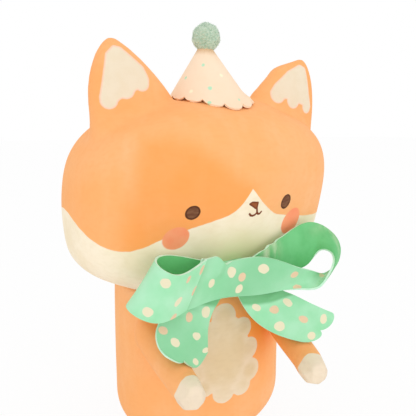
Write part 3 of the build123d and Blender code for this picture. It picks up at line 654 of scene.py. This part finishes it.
DOTS = {
    "bow_right": [(22, 17.7, 2.1, 1.9, 0, 0), (20.8, 3.9, 2.2, 1.95, 0, 0), (10.1, 8.7, 2.5, 1.6, 140, 0),
                  (0.6, 9.5, 2.4, 1.3, 125, 1), (10.9, 19.1, 1.8, 1.0, 130, 1), (1.5, 19.5, 2.3, 1.3, 125, 1),
                  (8.3, 0.3, 2.1, 1.4, 140, 1), (37, 13, 2.3, 2.1, 0, 0), (41, 5, 2.2, 2.0, 0, 1),
                  (47, 17, 2.3, 2.1, 30, 0), (54, 9, 2.3, 2.0, 0, 1)],
    "bow_left": [(8.4, 10.9, 2.2, 1.7, 80, 0), (18.2, 14.2, 2.5, 2.1, 70, 0), (26.1, 11.1, 2.3, 1.9, 65, 1),
                 (28.4, 4.5, 2.3, 1.8, 60, 0), (34.3, 16.3, 2.8, 2.3, 0, 0), (50.8, 14.5, 2.4, 1.8, 10, 1),
                 (63.8, 1.2, 2.3, 1.7, 10, 1), (70.8, 17, 2.2, 1.8, 0, 0), (84, 8, 2.4, 2.2, 0, 0),
                 (92, 17, 2.4, 2.2, 0, 1), (104, 7, 2.4, 2.1, 30, 0), (116, 15, 2.4, 2.2, 0, 1),
                 (128, 6, 2.3, 2.1, 0, 0), (139, 12, 2.2, 2.0, 0, 1)],
    "bow_end_right": [(11.2, 3.4, 2.7, 2.2, 0, 0), (15.6, 11.4, 2.2, 1.9, 0, 1),
                      (23.8, 25.5, 2.5, 1.6, -62, 1), (27.6, 19.4, 2.6, 1.7, -62, 0),
                      (22.8, 6.8, 2.4, 1.7, -62, 0), (28.3, 1.7, 2.0, 1.1, 80, 0),
                      (34.4, 7.5, 1.8, 1.4, -60, 0)],
    "bow_end_left": [(11.3, 4.9, 2.4, 1.6, 25, 0), (18.6, 10.7, 2.5, 2.0, 25, 1),
                     (21.2, 17.6, 2.6, 1.7, -10, 0), (26.2, 4.6, 2.8, 2.3, 25, 0),
                     (33.3, 12.5, 2.6, 1.7, -10, 1), (42.2, 15, 2.5, 1.8, 90, 0),
                     (42.4, 4.6, 2.2, 1.9, 20, 0)],
}
knot_low, knot_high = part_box("bow_knot")
KNOT_FRONT = -knot_low[1] / MM
NECK = knot_low[2] / MM - KNOT_BOTTOM


def lengths_along(points):
    """How far along a line of points each of them lies."""
    return np.concatenate([[0], np.cumsum(np.linalg.norm(np.diff(points, axis=0), axis=1))])


def edge_curve(points, shares):
    """Points at shares of the way along a smooth edge."""
    points = np.asarray(points, float)
    at = lengths_along(points)
    return curve_through(at, points, np.asarray(shares) * at[-1])


def flat_grid(name, long_steps, cross_steps):
    """A flat sheet with its shares of the way along and across."""
    bpy.ops.object.select_all(action="DESELECT")
    bpy.ops.mesh.primitive_grid_add(x_subdivisions=long_steps, y_subdivisions=cross_steps, size=1)
    sheet = bpy.context.active_object
    sheet.name = sheet.data.name = name
    return sheet, points_of(sheet)[:, 0] + 0.5, points_of(sheet)[:, 1] + 0.5


def dots_on_strip(name, spots, along, over):
    """Depth inside the dots of a strip, and which of them are peach."""
    depth, tone = np.full(len(along), OUTSIDE), np.zeros(len(along))
    for x, y, half_along, half_over, dot_turn, kind in DOTS[name]:
        middle, ahead, higher = [spots[np.hypot(along - x - a, over - y - o).argmin()]
                                 for a, o in ((0, 0), (DOT_AHEAD, 0), (0, DOT_HIGHER))]
        ahead = (ahead - middle) / np.linalg.norm(ahead - middle)
        higher = higher - middle - ahead * ((higher - middle) @ ahead)
        higher = higher / np.linalg.norm(higher)
        off = spots - middle
        inside = in_oval(off @ ahead, off @ higher, (0, 0), (half_along, half_over), dot_turn)
        inside = np.where(abs(along - x) < DOT_NEAR * half_along, inside, OUTSIDE)
        tone = np.where(inside > depth, kind, tone)
        depth = np.maximum(depth, inside)
    return depth, tone


def bow_strip(name, stations, turned, scallops=0, drop=0.0, corner=0.0, notch=0.5):
    """A paper strip, straight from edge to edge between two edge curves, with its dots stored on it."""
    strip, share, across = flat_grid(name, STRIP_LONG, STRIP_ACROSS)
    uppers, lowers = zip(*stations)
    steps = np.linspace(0, 1, STRIP_STEPS)
    run = lengths_along((edge_curve(uppers, steps) + edge_curve(lowers, steps)) / 2)
    if scallops:
        lobe = (across ** (math.log(0.5) / math.log(notch)) * scallops) % 1 - 0.5
        short = drop * (1 - np.sqrt(1 - SCALLOP_ROUND * lobe ** 2))
        short = short + corner * np.clip(1 - across / CORNER_REACH, 0, 1) ** 2
        share = share - short / run[-1] * share ** END_ONLY
    upper, lower = edge_curve(uppers, share), edge_curve(lowers, share)
    width = np.linalg.norm(upper - lower, axis=1)
    along, over = np.interp(share, steps, run) - TUCKED.get(name, 0), across * width
    flat = np.stack([along, over], 1)
    lift = np.zeros(len(flat))
    for x, reach, height in EDGE_LIFTS.get(name, []):
        lift += height * np.exp(-((along - x) / reach) ** 2)
    across = across + lift * across ** END_ONLY / width
    spots = lower + (upper - lower) * across[:, None]
    spots = np.stack([spots[:, 0], -KNOT_FRONT - spots[:, 1], NECK + spots[:, 2]], 1)
    move_to(strip, spots * MM)
    if turned:
        strip.data.flip_normals()
    depth, tone = dots_on_strip(name, spots, along, over)
    keep(strip, "dot", depth)
    keep(strip, "peach", tone)
    far, slant, soft = SHADED_STARTS[name]
    keep(strip, "shade", np.clip((far - along + slant * over) / soft, 0, 1))
    middle = np.clip(MIDDLE_OUT - along / MIDDLE_FADE, 0, 1) * np.clip(MIDDLE_IN + along / MIDDLE_FADE, 0, 1)
    keep(strip, "middle", middle * MIDDLE_TONES[name])
    keep(strip, "worn", patches_at(flat, WORN_SPOTS.get(name, [])) + np.zeros(len(flat)))
    keep(strip, "lit", np.full(len(flat), LIT_INSIDES.get(name, 0.0)))
    rise = PAPER_WAVE * np.array([noise.noise(Vector((a / PAPER_WAVE_LONG, o / PAPER_WAVE_LONG, run[-1])))
                                  for a, o in flat])
    for x, y, reach, side_reach, height in FOLDS.get(name, []):
        rise += height * near_spot(flat, (x, y), (reach, side_reach))
    move_to(strip, points_of(strip) + points_of(strip, "normal") * rise[:, None] * MM)
    for material in (bow_outside, bow_inside, bow_edge):
        strip.data.materials.append(material)
    shaped_by(strip, "SOLIDIFY", thickness=STRIP, offset=0, material_offset=1, material_offset_rim=2)
    bpy.ops.object.shade_smooth_by_angle(angle=math.radians(40))
    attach(strip, "root")
    return strip


bow_outside, tree, shader, place = new_paint("bow_outside", 0.7)
coat = clouded(tree, place, 70, 4, (158, 227, 177), (184, 238, 200))
coat = mixed(tree, stored(tree, "middle"), coat, colour(128, 200, 146))
shade = thinned(tree, ramp(tree, stored(tree, "shade"), 0, 1), 0.8)
coat = mixed(tree, shade, coat, colour(104, 180, 118))
dots = mixed(tree, stored(tree, "peach"), colour(235, 226, 193), colour(232, 202, 166))
coat = mixed(tree, painted_area(tree, "dot", hand_wobble(tree, place, 420, 0.7)), coat, dots)
tree.links.new(coat, shader.inputs["Base Color"])
clay_tooth(tree, shader, place)

bow_inside, tree, shader, place = new_paint("bow_inside", 0.7)
coat = clouded(tree, place, 55, 4, (94, 184, 110), (118, 203, 134))
coat = mixed(tree, stored(tree, "lit"), coat, colour(124, 214, 138))
scuffs = ramp(tree, grain(tree, place, 260, 4, (1, 1, 0.4)), 0.3, 0.65)
coat = mixed(tree, thinned(tree, scuffs, stored(tree, "worn")), coat, colour(208, 222, 184))
tree.links.new(coat, shader.inputs["Base Color"])
clay_tooth(tree, shader, place)

bow_edge, tree, shader, place = new_paint("bow_edge", 0.8)
coat = clouded(tree, place, 300, 3, (190, 238, 206), (214, 244, 222))
tree.links.new(coat, shader.inputs["Base Color"])

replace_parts(bow_strip("bow_right", LOOP_RIGHT, True), "bow_loop_right")
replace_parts(bow_strip("bow_left", LOOP_LEFT, False), "bow_loop_left")
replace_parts(bow_strip("bow_end_right", TAIL_RIGHT, True, 2, 3.2, 6.0, 0.6), "bow_tail_right")
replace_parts(bow_strip("bow_end_left", TAIL_LEFT, False, 2, 4.2, 3.4, 0.42), "bow_tail_left")

# Knot: the same paper folded over itself into a small pleated block, glued under the chin behind the front
# strip. It carries the loops and the tails.
KNOT_PLEATS, KNOT_TUCK = 4, 0.03
KNOT_CUTS, KNOT_SMOOTHING = 23, 4
KNOT_SHARE = 0.995
bpy.ops.object.select_all(action="DESELECT")
bpy.ops.mesh.primitive_cube_add(size=1)
knot = bpy.context.active_object
knot.name = knot.data.name = "bow_folded_knot"
open_whole(knot)
bpy.ops.mesh.subdivide(number_cuts=KNOT_CUTS)
bpy.ops.object.mode_set(mode="OBJECT")
share = points_of(knot) + 0.5
pleat = np.abs((share[:, 2] * KNOT_PLEATS) % 1 - 0.5) * 2
tuck = np.sign(share[:, 0] - 0.5) * KNOT_TUCK * pleat ** 4
share = 0.5 + (share - 0.5) * KNOT_SHARE
share[:, 0] -= tuck
move_to(knot, np.array(knot_low) + share * (np.array(knot_high) - np.array(knot_low)))
shaped_by(knot, "SMOOTH", iterations=KNOT_SMOOTHING)
bpy.ops.object.shade_smooth_by_angle(angle=math.radians(50))
for name, value in (("dot", OUTSIDE), ("peach", 0), ("shade", 0), ("middle", 0)):
    keep(knot, name, np.full(len(share), value))
knot.data.materials.append(bow_outside)
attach(knot, "root")
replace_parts(knot, "bow_knot")

# Hat: a paper cone with a scalloped rim, rolled with a lap at the back and glued to the crown, painted cream
# with small mint and pale dots.
HAT_RADIUS, HAT_HEIGHT, HAT_PAPER = 23.2, 26.0, 0.9
HAT_TIP_RADIUS, HAT_TIP_OPEN, HAT_TIP_RISE = 2.5, 3.9, 0.5
HAT_TIP_LEAN = (-6.6, -1.5)
HAT_FORWARD, HAT_ASIDE = 15.5, -0.9
RIM_LEANS = (math.tan(math.radians(2.5)), -math.tan(math.radians(3)))
HAT_LAP, HAT_LAP_START, HAT_LAP_FADE, HAT_LAP_LIFT = 1.02, 0.9, 0.08, 1.1
HAT_PRESSED, HAT_PRESSED_SIDE = 1.4, math.radians(-33)
HAT_FLARE, HAT_FLARE_REACH = 2.2, 1.6
HAT_SEAT_GAP, HAT_SEAT_RISE, HAT_SEAT_DEPTH = 2.4, 5.0, -16
HAT_LOBES, HAT_LOBE_TURN, HAT_LOBE_DROP = 14, math.radians(-7.4), 2.4
HAT_TOUCH, HAT_OFF = 0.3, 0.5
HAT_LONG, HAT_ACROSS, HAT_RIM_FINER = 288, 40, 1.2
CROWN_LOOK = 12.0
HAT_TIP_SHADE, HAT_TIP_SHADE_FADE = 3.2, 2.4
HAT_DOTS = [(-6.5, -25, 204.3, 0.8, 1), (-12.9, -21, 198.3, 0.8, 1), (-6.2, -31.9, 193.5, 1.0, 1),
            (-8.1, -35.2, 187.1, 0.9, 1), (7.2, -35.6, 188.9, 0.7, 1), (-13.5, -27.5, 192, 0.9, 0),
            (0.5, -29.5, 200, 0.9, 0), (14, -4, 190, 0.9, 1), (3, -4, 201, 0.8, 0), (-6, 4, 190, 0.9, 1),
            (-18, -2, 190, 0.8, 0), (-12, -8, 199, 0.8, 1), (16, -18, 191, 0.8, 0)]


def hat_place(local):
    """Places from the rim's own frame to the figurine's."""
    return from_head_frame(local @ hat_axes + hat_rim)


def pressed_side(angle):
    """Share of the hat's side that a thumb pressed in, by the way round."""
    return np.clip(np.cos(angle - HAT_PRESSED_SIDE), 0, 1)


def cone_spots(level, flare=0.0):
    """Places on the cone at these levels over the rim."""
    radius = HAT_RADIUS - HAT_PAPER / 2 - slope * level
    radius = radius + HAT_LAP_LIFT * np.clip((share - HAT_LAP_START) / HAT_LAP_FADE, 0, 1)
    radius = radius - HAT_PRESSED * pressed * np.clip(1 - level / HAT_HEIGHT, 0, 1) + flare
    lean = level / HAT_HEIGHT
    return hat_place(np.stack([radius * np.cos(angle) + HAT_TIP_LEAN[0] * lean,
                               radius * np.sin(angle) + HAT_TIP_LEAN[1] * lean, level], 1))


way = Vector((*RIM_LEANS, 1)).normalized()
side = (Vector((1, 0, 0)) - way * way.x).normalized()
hat_axes = np.array([side, way.cross(side), way])
hat_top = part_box("hat_cone")[1][2] / MM - HAT_TIP_RADIUS * math.hypot(way.x, way.y)
hat_rim = np.array([HAT_ASIDE, -HAT_FORWARD, hat_top - HAT_HEIGHT * way.z])
slope = (HAT_RADIUS - HAT_TIP_OPEN) / HAT_HEIGHT

local = (in_head_frame(points_of(head) / MM) - hat_rim) @ hat_axes.T
off = local[:, :2] - local[:, 2:] / HAT_HEIGHT * np.array(HAT_TIP_LEAN)
pressed = pressed_side(np.arctan2(off[:, 1], off[:, 0]))
inner_radius = HAT_RADIUS - HAT_SEAT_GAP - HAT_PRESSED * pressed
room = (inner_radius - np.linalg.norm(off, axis=1)) / slope - local[:, 2]
local[:, 2] += np.where(local[:, 2] > HAT_SEAT_DEPTH, np.clip(room, 0, HAT_SEAT_RISE), 0)
move_to(head, hat_place(local) * MM)

hat, share, rise = flat_grid("party_hat", HAT_LONG, HAT_ACROSS)
angle = math.pi / 2 + 2 * math.pi * HAT_LAP * share
pressed = pressed_side(angle)
lobe = ((angle + HAT_LOBE_TURN) * HAT_LOBES / (2 * math.pi) + 0.5) % 1 - 0.5
foot = HAT_TOUCH + HAT_LOBE_DROP * (1 - np.sqrt(1 - 4 * lobe ** 2))
starts, ends = [cone_spots(np.full(len(angle), level)) * MM for level in (CROWN_LOOK, -CROWN_LOOK)]
crown_level = np.zeros(len(angle))
for i, (start, end) in enumerate(zip(starts, ends)):
    way = Vector(end) - Vector(start)
    found, spot, *_ = head.ray_cast(Vector(start), way, distance=1.0)
    if found:
        crown_level[i] = CROWN_LOOK - 2 * CROWN_LOOK * (spot - Vector(start)).length / way.length
foot = foot + crown_level
level = foot + (HAT_HEIGHT + HAT_TIP_RISE - foot) * rise ** HAT_RIM_FINER
spots = cone_spots(level, HAT_FLARE * pressed * np.exp((foot - level) / HAT_FLARE_REACH))
move_to(hat, spots * MM)
depth, tone = np.full(len(spots), OUTSIDE), np.zeros(len(spots))
for x, y, z, size, kind in HAT_DOTS:
    middle = spots[np.linalg.norm(spots - np.array([x, y, z]), axis=1).argmin()]
    inside = size - np.linalg.norm(spots - middle, axis=1)
    tone = np.where(inside > depth, kind, tone)
    depth = np.maximum(depth, inside)
keep(hat, "dot", depth)
keep(hat, "mint", tone)
keep(hat, "tip", np.clip((level - HAT_HEIGHT + HAT_TIP_SHADE) / HAT_TIP_SHADE_FADE, 0, 1))
shaped_by(hat, "SHRINKWRAP", target=head, wrap_mode="OUTSIDE", offset=HAT_OFF * MM)

hat_paint, tree, shader, place = new_paint("hat_paper", 0.75)
coat = clouded(tree, place, 60, 4, (252, 227, 199), (251, 222, 191))
dots = mixed(tree, stored(tree, "mint"), colour(254, 243, 210), colour(184, 232, 196))
coat = mixed(tree, painted_area(tree, "dot", hand_wobble(tree, place, 900, 0.5), 0.35), coat, dots)
coat = mixed(tree, thinned(tree, stored(tree, "tip"), 0.8), coat, colour(222, 180, 136))
tree.links.new(coat, shader.inputs["Base Color"])
clay_tooth(tree, shader, place)
# The inside of the cone is painted orange for the light that the orange crown reflects into it: a painted
# reflection.
hat_inside_reflected_orange, tree, shader, place = new_paint("hat_inside_reflected_orange", 0.85)
coat = clouded(tree, place, 90, 4, (255, 176, 104), (255, 190, 124))
tree.links.new(coat, shader.inputs["Base Color"])
hat.data.materials.append(hat_paint)
hat.data.materials.append(hat_inside_reflected_orange)
shaped_by(hat, "SOLIDIFY", thickness=HAT_PAPER * MM, offset=0, material_offset=1)
bpy.ops.object.shade_smooth_by_angle(angle=math.radians(40))
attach(hat, "root")
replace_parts(hat, "hat_cone")

# Pom-pom: a ball of mint wool, felted by hand and glued into the hat's open tip, with short loose hairs all
# over it. The hairs are a piece of their own.
POMPOM_RADIUS, POMPOM_COAT = 7.5, 0.9
POMPOM_LUMPS = [(0.5, 320), (0.35, 1100)]
WOOL_HAIRS, WOOL_HALF = 5200, 0.07
WOOL_ROOT, WOOL_ROOT_WAVE, WOOL_ROOT_WAVES = 1.2, 0.4, 2.2
WOOL_SHORT, WOOL_LONG = 0.5, 1.2
WOOL_SPREAD, WOOL_CURL, WOOL_BEND = 0.9, 0.5, 0.4
GOLDEN_TURN = math.pi * (3 - math.sqrt(5))
pompom_low, pompom_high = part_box("hat_pompom")
pompom_middle = Vector(((pompom_low[0] + pompom_high[0]) / 2, (pompom_low[1] + pompom_high[1]) / 2,
                        pompom_high[2] - POMPOM_RADIUS * MM))
bpy.ops.object.select_all(action="DESELECT")
bpy.ops.mesh.primitive_ico_sphere_add(subdivisions=6, radius=(POMPOM_RADIUS - POMPOM_COAT) * MM)
pompom = bpy.context.active_object
pompom.name = pompom.data.name = "pompom"
for vertex in pompom.data.vertices:
    lump = sum(noise.noise(vertex.co * scale) * height for height, scale in POMPOM_LUMPS)
    vertex.co = vertex.co * (1 + lump * MM / vertex.co.length) + pompom_middle
bpy.ops.object.shade_smooth()

bpy.ops.object.select_all(action="DESELECT")
bpy.ops.mesh.primitive_cone_add(vertices=3, radius1=WOOL_HALF * MM, radius2=0, depth=1 * MM,
                                end_fill_type="NOTHING")
hair = bpy.context.active_object
open_whole(hair)
bpy.ops.mesh.subdivide(number_cuts=1)
bpy.ops.object.mode_set(mode="OBJECT")
one = points_of(hair) / MM + np.array([0, 0, 0.5])
hair_faces = np.array([[*face.vertices] for face in hair.data.polygons if len(face.vertices) == 3])
bpy.data.objects.remove(hair, do_unlink=True)
draw = np.random.default_rng(7)
hairs, faces = [], []
for i in range(WOOL_HAIRS):
    rise = 1 - 2 * (i + 0.5) / WOOL_HAIRS
    turn, level = i * GOLDEN_TURN, math.sqrt(1 - rise * rise)
    out = Vector((level * math.cos(turn), level * math.sin(turn), rise))
    way = (out + Vector(draw.normal(0, WOOL_SPREAD, 3))).normalized()
    side = way.orthogonal().normalized()
    root = out * (POMPOM_RADIUS - WOOL_ROOT + WOOL_ROOT_WAVE * noise.noise(out * WOOL_ROOT_WAVES))
    bent = one * np.array([1, 1, draw.uniform(WOOL_SHORT, WOOL_LONG)])
    bent[:, 0] += draw.normal(0, WOOL_CURL) * bent[:, 2] ** 2 * WOOL_BEND
    hairs.append(bent @ np.array([side, way.cross(side), way]) + np.array(root))
    faces.append(hair_faces + len(one) * i)
fluff_mesh = bpy.data.meshes.new("pompom_fluff")
fluff_mesh.from_pydata((np.concatenate(hairs) * MM + np.array(pompom_middle)).tolist(), [],
                       np.concatenate(faces).tolist())
fluff = bpy.data.objects.new("pompom_fluff", fluff_mesh)
bpy.context.collection.objects.link(fluff)

wool, tree, shader, place = new_paint("felted_wool", 0.95)
shader.inputs["Sheen Weight"].default_value = 0.8
coat = clouded(tree, place, 900, 4, (168, 196, 171), (196, 212, 188), 0.35, 0.65)
tree.links.new(coat, shader.inputs["Base Color"])
pompom.data.materials.append(wool)
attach(pompom, "root")
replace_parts(pompom, "hat_pompom")
fluff.data.materials.append(wool)
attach(fluff, "root")

# Base and insides: a plywood disc closes the bottom; packed card cores, a wooden dowel and pins and steel
# wires hold the figurine together where nobody sees them.
plywood, tree, shader, place = new_paint("plywood", 0.6)
rings = grain(tree, place, 260, 5, (0.08, 1, 1))
coat = mixed(tree, ramp(tree, rings, 0.3, 0.7), colour(222, 186, 138), colour(196, 154, 104))
tree.links.new(coat, shader.inputs["Base Color"])
bump = node(tree, "Bump", {"Height": rings, "Strength": 0.3, "Distance": 0.2 * MM})
tree.links.new(bump.outputs["Normal"], shader.inputs["Normal"])
packed_card, tree, shader, place = new_paint("packed_card", 0.9)
coat = clouded(tree, place, 300, 5, (190, 164, 128), (214, 190, 154))
tree.links.new(coat, shader.inputs["Base Color"])
steel, tree, shader, place = new_paint("steel_wire", 0.35)
shader.inputs["Metallic"].default_value = 1.0
coat = clouded(tree, place, 500, 3, (180, 182, 186), (150, 152, 158))
tree.links.new(coat, shader.inputs["Base Color"])
for material, names in ((plywood, ("base_disc", "neck_dowel", "ear_pin_right", "ear_pin_left")),
                        (packed_card, ("body_core", "head_core")),
                        (steel, ("arm_wire_right", "arm_wire_left", "tail_wire"))):
    for name in names:
        frame["nodes"][name].data.materials.clear()
        frame["nodes"][name].data.materials.append(material)

# Floor and backdrop: one white sheet that the figurine stands on, wide enough to fill the view behind it.
# It shows as plain white and keeps the figurine's shadow.
WHITE, SHEET_TONE = (1, 1, 1, 1), (0.96, 0.96, 0.96, 1)
SHEET_SIZE, SHEET_GLOW = 12, 0.9


def sheet_seen(tree):
    """1 where the white sheet shows as itself: straight on, mirrored or through glass."""
    path = node(tree, "LightPath").outputs
    mirrored = sums(tree, "MAXIMUM", path["Is Camera Ray"], path["Is Glossy Ray"])
    return sums(tree, "MAXIMUM", mirrored, path["Is Transmission Ray"])


bpy.ops.object.select_all(action="DESELECT")
bpy.ops.mesh.primitive_plane_add(size=SHEET_SIZE)
floor = bpy.context.active_object
floor.name = "floor"
sheet = bpy.data.materials.new("white_sheet")
sheet.use_nodes = True
tree = sheet.node_tree
shader = tree.nodes["Principled BSDF"]
shader.inputs["Base Color"].default_value = SHEET_TONE
shader.inputs["Roughness"].default_value = 0.9
glow = node(tree, "Emission", {"Color": WHITE, "Strength": 1.0})
glowing = sums(tree, "MULTIPLY", sheet_seen(tree), SHEET_GLOW)
both = node(tree, "MixShader", {0: glowing, 1: shader.outputs[0], 2: glow.outputs[0]})
tree.links.new(both.outputs[0], tree.nodes["Material Output"].inputs["Surface"])
floor.data.materials.append(sheet)

# Light and camera: soft daylight all round, a large soft lamp at the upper left and a wide low one in front
# to fill the shade, with the camera at the photograph's view. Places here are in metres.
DAYLIGHT = 0.93
LAMPS = {"lamp": ((-0.55, -0.6, 0.75), (0, 0, 0.13), 0.7, 0.75),
         "fill": ((0.25, -0.95, 0.08), (0, 0, 0.12), 0.8, 1.8)}
CAMERA_PLACE = (-0.0890, -0.2218, 0.1764)
CAMERA_AIM = (-0.0054, -0.0278, 0.1365)
CAMERA_SENSOR, CAMERA_LENS, CAMERA_NEAR = 36, 37.2, 0.01


def aim_at(item, spot):
    """Turns a lamp or a camera to face a place."""
    item.rotation_euler = (Vector(spot) - item.location).to_track_quat("-Z", "Y").to_euler()


world = bpy.data.worlds.new("studio")
bpy.context.scene.world = world
world.use_nodes = True
tree = world.node_tree
sky = tree.nodes["Background"]
sky.inputs["Color"].default_value = WHITE
sky.inputs["Strength"].default_value = DAYLIGHT
white = node(tree, "Background", {"Color": WHITE, "Strength": 1.0})
both = node(tree, "MixShader", {0: sheet_seen(tree), 1: sky.outputs[0], 2: white.outputs[0]})
tree.links.new(both.outputs[0], tree.nodes["World Output"].inputs["Surface"])
for name, (stand, spot, size, power) in LAMPS.items():
    bpy.ops.object.light_add(type="AREA", location=stand)
    lamp = bpy.context.active_object
    lamp.name = name
    lamp.data.size = size
    lamp.data.energy = power
    aim_at(lamp, spot)

bpy.ops.object.camera_add(location=CAMERA_PLACE)
camera = bpy.context.active_object
aim_at(camera, CAMERA_AIM)
camera.data.sensor_width = CAMERA_SENSOR
camera.data.lens = CAMERA_LENS
camera.data.clip_start = CAMERA_NEAR
bpy.context.scene.camera = camera
bpy.context.scene.view_settings.view_transform = "Standard"
